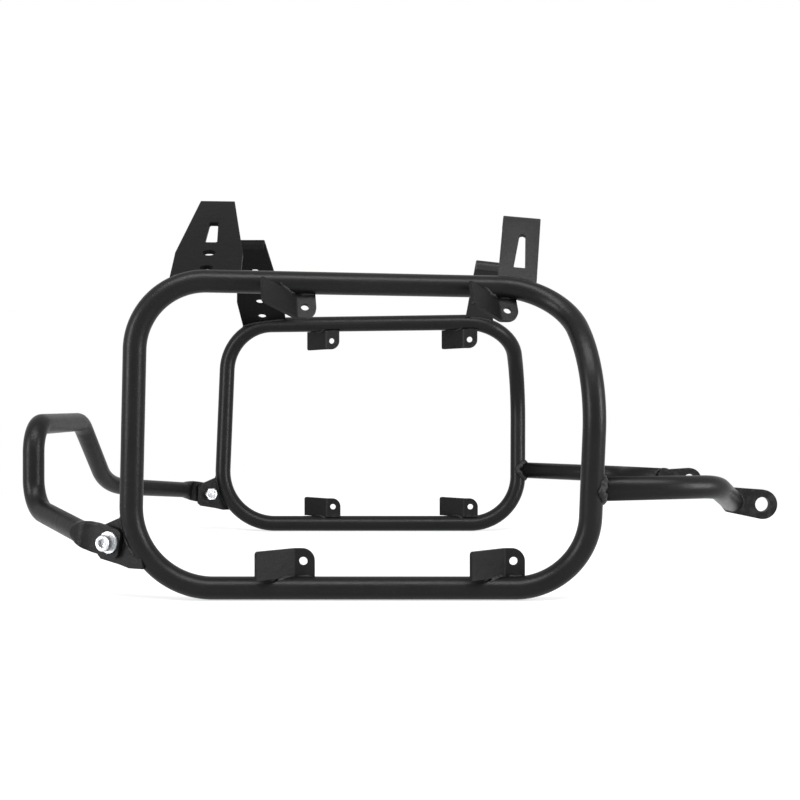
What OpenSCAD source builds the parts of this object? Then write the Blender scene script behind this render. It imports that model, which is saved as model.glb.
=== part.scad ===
// Pair of pannier racks for a motorcycle, joined behind the tail by a bent crossbar.
// x runs forward, y to the machine's left and z up. The two loops stand on z = 0.
// The left side is modelled with y pointing outward, and the right side is its mirror image.

/* [Side loops] */
// Outer diameter of the loop tube
loop_d = 18; // [16:0.5:20]
// Length of the foot between its two corner points
loop_l = 358; // [340:1:380]
// Height from the foot's centre line to the top tube's
loop_h = 239.5; // [225:0.5:255]
// Distance of the rear foot corner behind the rack's middle
loop_back = 216.5; // [205:0.5:225]
// Distance of each foot from the machine's middle plane
foot_out = 241.5; // [220:0.5:260]
// Distance of the top tube's rear corner from the middle plane
top_rear_out = 254.5; // [235:0.5:265]
// Distance of the top tube's front corner from the middle plane
top_front_out = 191.5; // [180:0.5:215]
// Distance of the waist, where the front upright turns inward, from the middle plane
waist_out = 264; // [250:0.5:270]
// Height of the waist above the foot's centre line
waist_h = 167.5; // [158:0.5:175]
// How far the top rear corner stands ahead of the foot's
rear_rake = 8; // [0:0.5:14]
// How far the top front corner stands behind the foot's
front_rake = 14; // [6:0.5:20]
// Bend radius of the rear foot corner
foot_rear_bend = 63; // [54:1:66]
// Bend radius of the front foot corner
foot_front_bend = 58; // [50:1:62]
// Bend radius at the waist
waist_bend = 92; // [70:1:94]
// Bend radius of the two top corners
top_bend = 55; // [45:1:57]

/* [Front arms] */
// Outer diameter of the arm tube
arm_d = 19; // [16:0.5:20]
// Height of the right arm's root above the floor
arm_root_right = 87; // [80:0.5:92]
// Height of the left arm's root above the floor
arm_root_left = 73; // [68:0.5:84]
// Distance of the arm's bend ahead of the rack's middle
arm_bend_x = 255; // [240:1:265]
// Distance of the arm's bend from the middle plane
arm_bend_out = 198; // [185:1:210]
// Bend radius of the arm
arm_bend = 40; // [30:1:50]
// Distance of the arm's eye ahead of the rack's middle
eye_x = 316.5; // [305:0.5:325]
// Distance of the lugs' outer faces from the middle plane
lug_out = 125; // [115:0.5:135]
// Height of the right eye above the floor
eye_right = 64; // [58:0.5:72]
// Height of the left eye above the floor
eye_left = 69.5; // [62:0.5:76]
// Hole in the eye
eye_hole_d = 13; // [10:0.1:14]
// Outer diameter of the eye
eye_d = 26; // [22:0.5:30]
// Thickness of the lug
lug_t = 6; // [4:0.5:8]
// Length of the lug's tail behind the eye
lug_tail = 34; // [30:0.5:40]
// Downward tilt of the right lug
lug_tilt_right = 8; // [0:1:10]

/* [Case tabs] */
// Distance between the front and rear tab holes
case_pitch = 165; // [150:1:170]
// Distance of the front tab holes ahead of the rack's middle
tab_front_x = 84; // [70:1:88]
// Sheet thickness of the tabs
tab_t = 3; // [2:0.5:4]
// Hole in each tab
tab_hole_d = 6.6; // [5:0.1:8]
// Distance of the hole from the tube's axis
tab_hole_h = 20.5; // [19:0.5:23]
// Distance of the tab's free edge from the tube's axis
tab_h = 30.5; // [28:0.5:34]
// How far the holed leaf stands inside the tube's axis
tab_in = 5; // [3:0.5:6]
// How far the wing's end stands outside the tube's axis
tab_wing_out = 18; // [12:0.5:20]
// Length of the wing along the tube
tab_wing_l = 28; // [22:1:30]
// Distance from the hole to the leaf's upright edge
tab_edge = 9; // [8:0.5:11]
// Corner radius of the holed leaf
tab_corner = 10; // [5:0.5:11]
// Tilt of the right rack's upper tabs
tab_tilt_right = 30; // [0:1:40]

/* [Top brackets] */
// Sheet thickness of the top brackets
bracket_t = 4; // [3:0.5:5]
// Return lip at the top of each bracket
lip_l = 5; // [3:0.5:7]
// Middle of the right rear bracket's foot behind the rack's middle
rear_bracket_right = 157; // [152:0.5:160]
// Middle of the left rear bracket's foot behind the rack's middle
rear_bracket_left = 165.5; // [158:0.5:168]
// Yaw of the right rear bracket
rear_yaw_right = 4; // [0:1:6]
// Lean of the rear brackets from the vertical
rear_lean = 57; // [50:1:60]
// Length of the rear brackets from the tube's axis
rear_bracket_l = 153; // [145:1:165]
// Width of the rear brackets' foot
rear_bracket_w = 54.5; // [48:0.5:58]
// Width of the rear brackets' top
rear_top_w = 29.5; // [24:0.5:36]
// Distance from the tube's axis to the shoulder where the rear brackets start to taper
rear_shoulder = 45; // [38:1:52]
// Diameter of the two round holes in a rear bracket
rear_hole_d = 10; // [8:0.5:11]
// Distance of the first round hole from the tube's axis
rear_hole_low = 17; // [16:0.5:20]
// Distance of the second round hole from the tube's axis
rear_hole_high = 45; // [40:0.5:48]
// Start of the rear brackets' slot, measured from the tube's axis
rear_slot_from = 65; // [60:1:70]
// Length of the rear brackets' slot
rear_slot_l = 40; // [34:1:46]
// Width of the slot's wide end
slot_w = 10; // [8:0.5:12]
// Middle of the front brackets' foot ahead of the rack's middle
front_bracket_x = 92.5; // [86:0.5:96]
// Lean of the front brackets from the vertical
front_lean = 35; // [28:1:38]
// Forward roll of the front brackets
front_roll = 7; // [0:1:10]
// Length of the front brackets from the tube's axis
front_bracket_l = 79; // [72:1:86]
// Width of the front brackets
front_bracket_w = 30; // [25:0.5:32]
// Start of the front brackets' slot, measured from the tube's axis
front_slot_from = 20; // [17:1:24]
// Length of the front brackets' slot
front_slot_l = 38; // [28:1:40]

/* [Crossbar] */
// Outer diameter of the crossbar tube
bar_d = 18; // [16:0.5:20]
// Distance of the crossbar behind the rack's middle
bar_back = 320.5; // [310:0.5:335]
// Distance of the right upright of the crossbar from the middle plane
bar_right = 148.5; // [140:1:156]
// Distance of the left lower corner of the crossbar from the middle plane
bar_left = 105; // [98:1:115]
// Height of the crossbar's lower corners above the floor
bar_low = 64; // [58:0.5:70]
// Height of the crossbar's top run above the floor
bar_high = 135; // [125:1:145]
// Where the top run meets the slanting run, left of the middle plane
bar_peak = 2; // [-10:1:12]
// Length of the flattened pad behind the bolt
pad_back = 20; // [17:0.5:22]
// Length of the flattened pad ahead of the bolt
pad_front = 9.5; // [8.5:0.5:10]
// Dip of the pads towards their tips
pad_dip = 11; // [6:1:14]
// Thickness of the flattened pad
pad_t = 4.5; // [4:0.1:5.5]
// Width of the flattened pad
pad_w = 24; // [20:0.5:26]

/* [Crossbar joints] */
// Distance of the bolt behind the loop's rear upright at its height
bolt_back = 19.5; // [19:0.5:22]
// Height of the crossbar bolts above the floor
bolt_h = 45; // [42:0.5:48]
// Distance of the pads' inner faces from the middle plane at the bolt
bolt_out = 240; // [237:0.5:242]
// Yaw of the joint plates
joint_yaw = 25; // [22:1:28]
// Thickness of the gusset plate
gusset_t = 4; // [3:0.5:5]
// Thread diameter of the bolt
bolt_d = 8; // [7:0.5:8]
// Hole for the bolt
bolt_hole_d = 8.5; // [8.4:0.1:9]
// Diameter of the bolt's head
head_d = 13; // [12:0.5:14]
// Height of the bolt's head
head_h = 8; // [6:0.5:9]
// Width across flats of the socket in the head
socket_w = 6; // [5:0.5:7]
// Outer diameter of the washers
washer_d = 17; // [15:0.5:17.5]
// Thickness of the washers
washer_t = 1.6; // [1:0.1:2]
// Width across flats of the nut
nut_w = 13; // [12:0.5:14]
// Height of the nut
nut_h = 6.5; // [5:0.5:8]

/* [Hidden] */
$fn = 48;
powder_coat = "#262628";
zinc = "#c9cbd0";
// Sides of every bent tube's section, and the turn from one ring of a bend to the next
sides = 24;
bend_step = 6;
// Room for the weld round a bend and along a straight of the tube that a piece is coped to
weld_room = 0.15;
straight_room = 0.25;
loop_r = loop_d / 2;

// Corner points of the left loop: rear foot, front foot, waist, top front, top rear
foot_rear = [-loop_back, foot_out, loop_r];
foot_front = foot_rear + [loop_l, 0, 0];
waist = [foot_front[0] + 3, waist_out, loop_r + waist_h];
top_front = [foot_front[0] - front_rake, top_front_out, loop_r + loop_h];
top_rear = [foot_rear[0] + rear_rake, top_rear_out, loop_r + loop_h];
loop_corners = [foot_rear, foot_front, waist, top_front, top_rear];
loop_bends = [foot_rear_bend, foot_front_bend, waist_bend, top_bend, top_bend];
// Heading of the top tube, seen from above
top_yaw = atan2(top_front[1] - top_rear[1], top_front[0] - top_rear[0]);

function unit(v) = v / norm(v);
function mix(a, b, k) = a + (b - a) * k;
function clamp(v, lo, hi) = min(max(v, lo), hi);

// Turn of a path at a corner, and how far the bend's ends lie from the corner
function turn(p, v, q) = acos(unit(v - p) * unit(q - v));
function reach(p, v, q, r) = r * tan(turn(p, v, q) / 2);

// Stations round one bend, each a point on the centre line with its heading
function bend_stations(p, v, q, r) =
    let (ahead = unit(v - p),
         out = unit(q - v),
         a = turn(p, v, q),
         n = ceil(a / bend_step),
         side = unit(out - ahead * (ahead * out)),
         start = v - ahead * reach(p, v, q, r),
         centre = start + side * r)
    [for (i = [0:n]) let (b = a * i / n)
        [centre - side * r * cos(b) + ahead * r * sin(b), ahead * cos(b) + side * sin(b)]];

function closed_path(points, radii) =
    let (n = len(points))
    [for (i = [0:n - 1]) each
        bend_stations(points[(i + n - 1) % n], points[i], points[(i + 1) % n], radii[i])];

function open_path(points, radii) =
    let (n = len(points))
    concat(
        [[points[0], unit(points[1] - points[0])]],
        [for (i = [1:n - 2]) each
            bend_stations(points[i - 1], points[i], points[i + 1], radii[i - 1])],
        [[points[n - 1], unit(points[n - 1] - points[n - 2])]]
    );

// One ring of a tube. A circle squeezed between two flats keeps its width along across.
function ring(station, flat, half_w, half_t) =
    let (heading = station[1],
         thin = unit(flat - heading * (flat * heading)),
         across = cross(heading, thin))
    [for (k = [0:sides - 1]) let (a = 360 * k / sides)
        station[0] + across * half_w * cos(a)
            + thin * clamp(half_w * sin(a), -half_t, half_t)];

// Skin over a list of rings
module skin(rings, closed) {
    n = len(rings);
    polyhedron(
        points = [for (r = rings) each r],
        faces = concat(
            [for (i = [0:closed ? n - 1 : n - 2], k = [0:sides - 1])
                let (j = (i + 1) % n, m = (k + 1) % sides)
                [i * sides + k, i * sides + m, j * sides + m, j * sides + k]],
            closed ? [] : [[for (k = [0:sides - 1]) sides - 1 - k],
                           [for (k = [0:sides - 1]) (n - 1) * sides + k]]
        )
    );
}

module round_tube(stations, d, closed) {
    skin([for (s = stations) ring(s, [0, 1, 0.001], d / 2, d / 2)], closed);
}

// Places children at a point with local z along a heading
module stand(point, side, heading) {
    z = unit(heading);
    y = unit(cross(z, side));
    x = cross(y, z);
    multmatrix([[x[0], y[0], z[0], point[0]],
                [x[1], y[1], z[1], point[1]],
                [x[2], y[2], z[2], point[2]],
                [0, 0, 0, 1]]) children();
}

// The loop as true cylinders and tori with room for the weld, to cope its neighbours.
// From and count choose the corners, and each comes with the straight that follows it.
module cope(from, count) {
    for (j = [from:from + count - 1]) {
        p = loop_corners[(j + 4) % 5];
        v = loop_corners[j % 5];
        q = loop_corners[(j + 1) % 5];
        s = loop_corners[(j + 2) % 5];
        bend_r = loop_bends[j % 5];
        ahead = unit(v - p);
        out = unit(q - v);
        side = unit(out - ahead * (ahead * out));
        centre = v - ahead * reach(p, v, q, bend_r) + side * bend_r;
        stand(centre, -side, cross(-side, ahead))
            rotate_extrude(angle = turn(p, v, q)) translate([bend_r, 0]) circle(loop_r + weld_room);
        start = v + out * (reach(p, v, q, bend_r) - 2);
        end = q - out * (reach(v, q, s, loop_bends[(j + 1) % 5]) - 2);
        stand(start, side, out) cylinder(r = loop_r + straight_room, h = norm(end - start));
    }
}

// Outline of a bent strip of sheet of thickness t along a 2D path
function strip(path, t) =
    let (n = len(path),
         normals = [for (i = [0:n - 2]) let (d = unit(path[i + 1] - path[i])) [-d[1], d[0]]],
         mitres = [for (i = [0:n - 1])
             let (a = normals[max(i - 1, 0)], b = normals[min(i, n - 2)]) (a + b) / (1 + a * b)])
    concat([for (i = [0:n - 1]) path[i] + mitres[i] * t / 2],
           [for (i = [n - 1:-1:0]) path[i] - mitres[i] * t / 2]);

// Path along a fold of radius r from a start point
function fold(start, r, from, to, steps) =
    let (centre = start - r * [cos(from), sin(from)])
    [for (i = [0:steps]) let (a = mix(from, to, i / steps)) centre + r * [cos(a), sin(a)]];

// Slot of length l up from the origin that narrows from w at its foot to w_top
module tapered_slot(w, w_top, l) {
    ease = 1.2;
    polygon([[-w / 2 + ease, 0], [w / 2 - ease, 0], [w / 2, ease], [w_top / 2, l - ease],
             [w_top / 2 - ease, l], [-w_top / 2 + ease, l], [-w_top / 2, l - ease], [-w / 2, ease]]);
}

// Slot of width w and length l up from the origin with a round top
module round_top_slot(w, l) {
    translate([-w / 2, 0]) square([w, l - w / 2]);
    translate([0, l - w / 2]) circle(d = w);
}

// Cutter for an outside corner of radius r, in the quadrant past the origin
module corner_cut(r, depth) {
    rotate([90, 0, 0]) linear_extrude(depth, center = true) difference() {
        translate([-r, -r]) square([2 * r, 2 * r]);
        translate([-r, -r]) circle(r);
        translate([-r - 1, -2 * r]) square([r + 1, r]);
        translate([-2 * r, -r - 1]) square([r, r + 1]);
    }
}

module on_left_foot(x) {
    translate([x, foot_out, loop_r]) children();
}

module on_left_top(x, yaw) {
    k = (x - top_rear[0]) / (top_front[0] - top_rear[0]);
    translate(mix(top_rear, top_front, k)) rotate([0, 0, yaw]) children();
}

// Case tab, with its hole over the local origin, the tube's axis along x and z away from it
module tab_blank() {
    fold_x = -7;
    wing_end = [fold_x - tab_wing_l, tab_wing_out];
    leaf_end = [tab_edge, -tab_in];
    fold_mid = [fold_x, -tab_in];
    ease = 2;
    back = unit(wing_end - fold_mid);
    path = [leaf_end, fold_mid + [ease, 0], fold_mid + back * ease, wing_end];
    corner = 2.5;
    difference() {
        translate([0, 0, loop_r / 2]) linear_extrude(tab_h - loop_r / 2)
            polygon(strip(path, tab_t));
        translate([0, 0, tab_hole_h]) rotate([90, 0, 0])
            cylinder(d = tab_hole_d, h = 4 * tab_in, center = true);
        translate([tab_edge, -tab_in, tab_h]) corner_cut(tab_corner, 4 * tab_t);
        translate([wing_end[0] - tab_t / 2, tab_wing_out, tab_h]) mirror([1, 0, 0])
            corner_cut(corner, 6 * tab_t);
    }
}

module lower_tab(x) {
    color(powder_coat) difference() {
        on_left_foot(x) tab_blank();
        cope(0, 2);
    }
}

module upper_tab(x, tilt) {
    color(powder_coat) difference() {
        on_left_top(x, top_yaw) rotate([tilt, 0, 0]) mirror([0, 0, 1]) tab_blank();
        cope(3, 1);
    }
}

// Half the size of the block that trims a bracket's foot
bracket_reach = 3 * loop_d;

// Sheet bracket in the x-z plane with a return lip that hangs straight down once it leans
module bracket_sheet(w, l, lean) {
    fold_r = bracket_t;
    top = l - fold_r;
    hook = 180 - lean;
    bent = fold([0, top], fold_r, 0, hook, 8);
    path = concat([[0, -2 * loop_r]], bent,
                  [bent[8] + lip_l * [-sin(hook), cos(hook)]]);
    rotate([90, 0, 90]) linear_extrude(w, center = true) polygon(strip(path, bracket_t));
}

// Slots and holes go through the sheet at a height above the tube's axis
module through(x, z) {
    translate([x, 0, z]) rotate([90, 0, 0])
        linear_extrude(4 * bracket_t, center = true) children();
}

// Everything that lies outboard of the top tube's middle, where a bracket's foot ends
module outboard(x) {
    on_left_top(x, top_yaw) translate([-bracket_reach, loop_r * 2 / 3, -bracket_reach])
        cube(2 * bracket_reach);
}

module rear_bracket(x, yaw) {
    half = rear_bracket_w / 2;
    top_half = rear_top_w / 2;
    past = rear_bracket_l + 9;
    foot = 14;
    color(powder_coat) difference() {
        on_left_top(x, yaw) rotate([rear_lean, 0, 0]) translate([0, 1, 0]) difference() {
            intersection() {
                bracket_sheet(rear_bracket_w, rear_bracket_l, rear_lean);
                rotate([90, 0, 0]) linear_extrude(12 * bracket_t, center = true) polygon([
                    [-half, -foot], [half, -foot], [half, rear_shoulder],
                    [top_half, rear_bracket_l], [top_half, past],
                    [-top_half, past], [-top_half, rear_bracket_l], [-half, rear_shoulder]
                ]);
            }
            through(0, rear_slot_from) tapered_slot(slot_w, 0.7 * slot_w, rear_slot_l);
            through(0, rear_hole_high) circle(d = rear_hole_d);
            through(0, rear_hole_low) circle(d = rear_hole_d);
        }
        cope(3, 2);
        outboard(x);
    }
}

module front_bracket() {
    half = front_bracket_w / 2;
    past = front_bracket_l + 9;
    color(powder_coat) difference() {
        on_left_top(front_bracket_x, 0) rotate([front_lean, 0, 0]) rotate([0, front_roll, 0])
            difference() {
                intersection() {
                    bracket_sheet(front_bracket_w, front_bracket_l, front_lean);
                    rotate([90, 0, 0]) linear_extrude(12 * bracket_t, center = true)
                        polygon([[-half, 0], [half, -12], [half, past], [-half, past]]);
                }
                through(0, front_slot_from) round_top_slot(0.85 * slot_w, front_slot_l);
            }
        cope(2, 2);
        outboard(front_bracket_x);
    }
}

// Points of an arm's centre line: on the upright's axis, at the bend, on the lug's outer face
function arm_points(root_h, eye_h) =
    let (k = (root_h - loop_r) / waist_h)
    [mix(foot_front, waist, k), [arm_bend_x, arm_bend_out, root_h - 2],
     [eye_x - 27, lug_out, eye_h + 3]];

module arm_tube(root_h, eye_h) {
    points = arm_points(root_h, eye_h);
    past = points[2] + 12 * unit(points[2] - points[1]);
    color(powder_coat) difference() {
        round_tube(open_path([points[0], points[1], past], [arm_bend]), arm_d, false);
        cope(1, 1);
        translate([eye_x - 80, lug_out - 40 + weld_room, eye_h - 40]) cube([120, 40, 80]);
    }
}

module arm_lug(eye_h, tilt) {
    tail_h = eye_d / 2 - 2;
    nose = 4;
    color(powder_coat) translate([eye_x, lug_out, eye_h]) rotate([90, tilt, 0])
        linear_extrude(lug_t) difference() {
            union() {
                circle(d = eye_d);
                polygon([[0, eye_d / 2], [-lug_tail + nose, tail_h], [-lug_tail, tail_h - nose],
                         [-lug_tail, nose - tail_h], [-lug_tail + nose, -tail_h], [0, -eye_d / 2]]);
            }
            circle(d = eye_hole_d);
        }
}

// Where the loop's rear foot bend passes the bolt's height
bend_centre = [foot_rear[0] + foot_rear_bend, foot_rear[2] + foot_rear_bend];
upright_x = bend_centre[0] - sqrt(pow(foot_rear_bend, 2) - pow(bend_centre[1] - bolt_h, 2));
bolt_point = [upright_x - bolt_back, bolt_out, bolt_h];

// Frame of a joint: origin where the pad meets the gusset, y outward through the bolt
module at_joint() {
    translate(bolt_point) rotate([0, 0, joint_yaw]) children();
}

// Disc or ring on the bolt's axis, from y0 outward
module on_bolt(y0, h) {
    at_joint() translate([0, y0, 0]) rotate([-90, 0, 0]) linear_extrude(h) children();
}

module gusset() {
    color(powder_coat) difference() {
        at_joint() rotate([90, 0, 0]) linear_extrude(gusset_t) difference() {
            polygon([[-15, 9.5], [-11, 12], [bolt_back - 3, 23], [bolt_back + 2, 23],
                     [bolt_back + 9, -20], [bolt_back - 4, -20], [6, -17.5], [-12, -14], [-15, -11]]);
            circle(d = bolt_hole_d);
        }
        cope(0, 1);
        cope(4, 1);
    }
}

module joint_washer() {
    color(zinc) on_bolt(pad_t, washer_t) difference() {
        circle(d = washer_d);
        circle(d = bolt_hole_d);
    }
}

module joint_bolt() {
    seat = pad_t + washer_t;
    shank = seat + gusset_t + nut_h + 2;
    color(zinc) at_joint() translate([0, seat, 0]) rotate([-90, 0, 0]) difference() {
        union() {
            cylinder(d = head_d, h = head_h - 0.8);
            translate([0, 0, head_h - 0.8]) cylinder(d1 = head_d, d2 = head_d - 1.6, h = 0.8);
            translate([0, 0, -shank]) cylinder(d = bolt_d, h = shank);
        }
        translate([0, 0, head_h - 4]) cylinder(d = socket_w / cos(30), h = 5, $fn = 6);
    }
}

module joint_nut() {
    corner_d = nut_w / cos(30);
    color(zinc) at_joint() translate([0, -gusset_t, 0]) rotate([90, 0, 0]) difference() {
        intersection() {
            cylinder(d = corner_d, h = nut_h, $fn = 6);
            cylinder(d1 = corner_d + 2 * nut_h, d2 = nut_w, h = nut_h);
        }
        translate([0, 0, -1]) cylinder(d = bolt_d + 0.1, h = nut_h + 2);
    }
}

// Crossbar: each end is cranked into its gusset's plane and flattened there
pad_dir = [cos(joint_yaw) * cos(pad_dip), sin(joint_yaw) * cos(pad_dip), -sin(pad_dip)];
pad_normal = [-sin(joint_yaw), cos(joint_yaw), 0];
pad_tip = bolt_point + pad_dir * pad_front + pad_normal * pad_t / 2;
crank = bolt_point - pad_dir * (pad_back + 6) + pad_normal * pad_t / 2;
squeeze_l = 14;

function mirrored(p) = [p[0], -p[1], p[2]];

bar_points = [
    mirrored(pad_tip), mirrored(crank), [-bar_back, -bar_right, bar_low],
    [-bar_back, -bar_right, bar_high], [-bar_back, bar_peak, bar_high],
    [-bar_back, bar_left, bar_low], crank, pad_tip
];
bar_bends = [12, 28, 24, 45, 90, 12];

// Half thickness and half width of the bar, by the distance from its nearer tip
pad_l = pad_front + pad_back;
function squeeze(s) = clamp((s - pad_l) / squeeze_l, 0, 1);
function bar_half_t(s) = mix(pad_t / 2, bar_d / 2, pow(squeeze(s), 0.8));
function bar_half_w(s) =
    let (k = squeeze(s), round_off = clamp(s / 6, 0, 1))
    mix(pad_w / 2, bar_d / 2, k) * mix(0.62, 1, sqrt(1 - pow(1 - round_off, 2)));

// Extra stations where the section changes, by the distance from a corner point
function on_line(from, dir, heading, distances) =
    [for (s = distances) [from + dir * s, heading]];

module crossbar() {
    first = open_path(bar_points, bar_bends);
    n = len(first);
    crank_n = len(bend_stations(bar_points[0], bar_points[1], bar_points[2], bar_bends[0]));
    last_n = len(bend_stations(bar_points[5], bar_points[6], bar_points[7], bar_bends[5]));
    right_in = -mirrored(pad_dir);
    right_leg = unit(bar_points[2] - bar_points[1]);
    left_leg = unit(bar_points[5] - bar_points[6]);
    stations = concat(
        [first[0]],
        on_line(bar_points[0], right_in, right_in, [0.6, 1.8, 3.6, 6, pad_l]),
        [for (i = [1:crank_n]) first[i]],
        on_line(bar_points[1], right_leg, right_leg, [8, 11, 14, 17, 20]),
        [for (i = [crank_n + 1:n - 2 - last_n]) first[i]],
        on_line(bar_points[6], left_leg, -left_leg, [20, 17, 14, 11, 8]),
        [for (i = [n - 1 - last_n:n - 2]) first[i]],
        on_line(bar_points[7], -pad_dir, pad_dir, [pad_l, 6, 3.6, 1.8, 0.6]),
        [first[n - 1]]
    );
    flat_limit = abs(crank[1]) - 6;
    color(powder_coat) difference() {
        skin([for (s = stations)
            let (tip = min(norm(s[0] - bar_points[0]), norm(s[0] - bar_points[7])),
                 swing = clamp(s[0][1] / flat_limit, -1, 1))
            ring(s, [-sin(joint_yaw), swing * cos(joint_yaw), 0], bar_half_w(tip), bar_half_t(tip))],
            false);
        for (m = [0, 1]) mirror([0, m, 0]) on_bolt(-1, pad_t + 2) circle(d = bolt_hole_d);
    }
}

module side_loop() {
    color(powder_coat) round_tube(closed_path(loop_corners, loop_bends), loop_d, true);
}

// The right side is the left one mirrored in the machine's middle plane
module right() {
    mirror([0, 1, 0]) children();
}

tab_rear_x = tab_front_x - case_pitch;
tab_top_front_x = tab_rear_x + case_pitch * cos(top_yaw);

module left_loop() side_loop();
module left_arm_tube() arm_tube(arm_root_left, eye_left);
module left_arm_lug() arm_lug(eye_left, 0);
module left_rear_bracket() rear_bracket(-rear_bracket_left, 0);
module left_front_bracket() front_bracket();
module left_tab_lower_rear() lower_tab(tab_rear_x);
module left_tab_lower_front() lower_tab(tab_front_x);
module left_tab_upper_rear() upper_tab(tab_rear_x, 0);
module left_tab_upper_front() upper_tab(tab_top_front_x, 0);
module left_gusset() gusset();
module left_bolt() joint_bolt();
module left_washer() joint_washer();
module left_nut() joint_nut();

module right_loop() right() side_loop();
module right_arm_tube() right() arm_tube(arm_root_right, eye_right);
module right_arm_lug() right() arm_lug(eye_right, lug_tilt_right);
module right_rear_bracket() right() rear_bracket(-rear_bracket_right, -rear_yaw_right);
module right_front_bracket() right() front_bracket();
module right_tab_lower_rear() right() lower_tab(tab_rear_x);
module right_tab_lower_front() right() lower_tab(tab_front_x);
module right_tab_upper_rear() right() upper_tab(tab_rear_x, tab_tilt_right);
module right_tab_upper_front() right() upper_tab(tab_top_front_x, tab_tilt_right);
module right_gusset() right() gusset();
module right_bolt() right() joint_bolt();
module right_washer() right() joint_washer();
module right_nut() right() joint_nut();

right_loop();
right_arm_tube();
right_arm_lug();
right_rear_bracket();
right_front_bracket();
right_tab_lower_rear();
right_tab_lower_front();
right_tab_upper_rear();
right_tab_upper_front();
right_gusset();
right_bolt();
right_washer();
right_nut();
left_loop();
left_arm_tube();
left_arm_lug();
left_rear_bracket();
left_front_bracket();
left_tab_lower_rear();
left_tab_lower_front();
left_tab_upper_rear();
left_tab_upper_front();
left_gusset();
left_bolt();
left_washer();
left_nut();
crossbar();
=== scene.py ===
import math

import bmesh
import bpy
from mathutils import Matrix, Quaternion, Vector
from mathutils.geometry import delaunay_2d_cdt


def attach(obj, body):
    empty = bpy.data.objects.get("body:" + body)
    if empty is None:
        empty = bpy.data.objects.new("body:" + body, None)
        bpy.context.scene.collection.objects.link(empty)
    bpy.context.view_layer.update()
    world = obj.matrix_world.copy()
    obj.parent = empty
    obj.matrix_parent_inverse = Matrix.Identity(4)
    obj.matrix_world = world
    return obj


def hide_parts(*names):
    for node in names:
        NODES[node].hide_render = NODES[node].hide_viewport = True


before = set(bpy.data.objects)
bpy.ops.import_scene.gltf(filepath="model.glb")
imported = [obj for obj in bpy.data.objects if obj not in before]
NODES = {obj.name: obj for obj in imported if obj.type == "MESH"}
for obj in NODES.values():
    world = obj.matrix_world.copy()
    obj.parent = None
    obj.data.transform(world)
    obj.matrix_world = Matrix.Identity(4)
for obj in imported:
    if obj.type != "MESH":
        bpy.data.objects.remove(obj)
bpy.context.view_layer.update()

# The rack stands in one frame with the CAD: metres, x forward, y to the left, z up.
# Helpers below work in millimetres on the left side; finished pieces are mirrored for the right.
MM = 0.001


class Socket:
    """A node output that can be used in arithmetic; colours and vectors go through their own nodes."""

    def __init__(self, graph, out):
        self.graph = graph
        self.out = out

    def _math(self, operation, a, b):
        return self.graph.node("ShaderNodeMath", {"operation": operation}, {0: a, 1: b})

    def __add__(self, other):
        return self._math("ADD", self, other)

    def __radd__(self, other):
        return self._math("ADD", other, self)

    def __sub__(self, other):
        return self._math("SUBTRACT", self, other)

    def __rsub__(self, other):
        return self._math("SUBTRACT", other, self)

    def __mul__(self, other):
        return self._math("MULTIPLY", self, other)

    def __rmul__(self, other):
        return self._math("MULTIPLY", other, self)

    def larger(self, other):
        return self._math("MAXIMUM", self, other)

    def step(self, low, high):
        """0 below low, 1 above high, and a smooth rise between."""
        return self.graph.node("ShaderNodeMapRange", {"interpolation_type": "SMOOTHSTEP"},
                               {"Value": self, "From Min": low, "From Max": high})


class Graph:
    """A material's nodes, built one call at a time."""

    def __init__(self, name):
        self.material = bpy.data.materials.new(name)
        self.material.use_nodes = True
        self.tree = self.material.node_tree
        self.tree.nodes.clear()

    def node(self, kind, settings, inputs, output=0):
        made = self.tree.nodes.new(kind)
        for key, value in settings.items():
            setattr(made, key, value)
        for key, value in inputs.items():
            if isinstance(value, Socket):
                self.tree.links.new(value.out, made.inputs[key])
            else:
                made.inputs[key].default_value = value
        return Socket(self, made.outputs[output])

    def mix(self, factor, a, b):
        """Colour mix: sockets 6 and 7 are its colours, output 2 is the mixed colour."""
        return self.node("ShaderNodeMix", {"data_type": "RGBA"}, {0: factor, 6: a, 7: b}, 2)

    def noise(self, place, scale, detail):
        return self.node("ShaderNodeTexNoise", {}, {"Vector": place, "Scale": scale, "Detail": detail})

    def finish(self, shader):
        out = self.tree.nodes.new("ShaderNodeOutputMaterial")
        self.tree.links.new(shader.out, out.inputs["Surface"])
        return self.material


def grey(v):
    """A grey that leans slightly to blue."""
    return (v, v, 1.03 * v, 1.0)


# Black powder coat: semi-gloss, with the orange peel of cured powder, a slow drift in gloss and
# tone, sparse specks of dust in the cure, and a paler grey on convex edges and corners, partly coat
# thinned there and partly a painted edge highlight.
# The plates and the crossbar have a tone and gloss of their own, set to the photograph's levels;
# the wide rear plates' darker tone is painted shade and the narrow front plates' lighter tone is painted
# light, on one and the same coat.
def powder_coat(name, tone, gloss, peel_depth, shine):
    g = Graph(name)
    place = g.node("ShaderNodeTexCoord", {}, {}, "Object")
    peel = g.noise(place, 900.0, 2.0)
    wave = g.noise(place, 170.0, 3.0)
    drift = g.noise(place, 28.0, 3.0)
    dust = g.noise(place, 1500.0, 0.0).step(0.76, 0.82)
    # Paler grey on convex edges, in patches: partly thinned coat, partly a painted edge highlight.
    wear_and_edge_highlight = g.node("ShaderNodeNewGeometry", {}, {}, "Pointiness").step(0.56, 0.68) * wave.step(0.42, 0.62)
    base = g.mix(drift, grey(0.7 * tone), grey(1.3 * tone))
    dusty = g.mix(0.5 * dust, base, grey(6.0 * tone))
    colour = g.mix(0.6 * wear_and_edge_highlight, dusty, grey(5.0 * tone))
    height = peel + 1.6 * wave
    relief = g.node("ShaderNodeBump", {}, {"Strength": 0.5, "Distance": peel_depth, "Height": height})
    return g.finish(g.node("ShaderNodeBsdfPrincipled", {}, {
        "Base Color": colour, "Roughness": gloss + 0.14 * drift + 0.1 * wear_and_edge_highlight,
        "Specular IOR Level": shine, "Normal": relief}))


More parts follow.
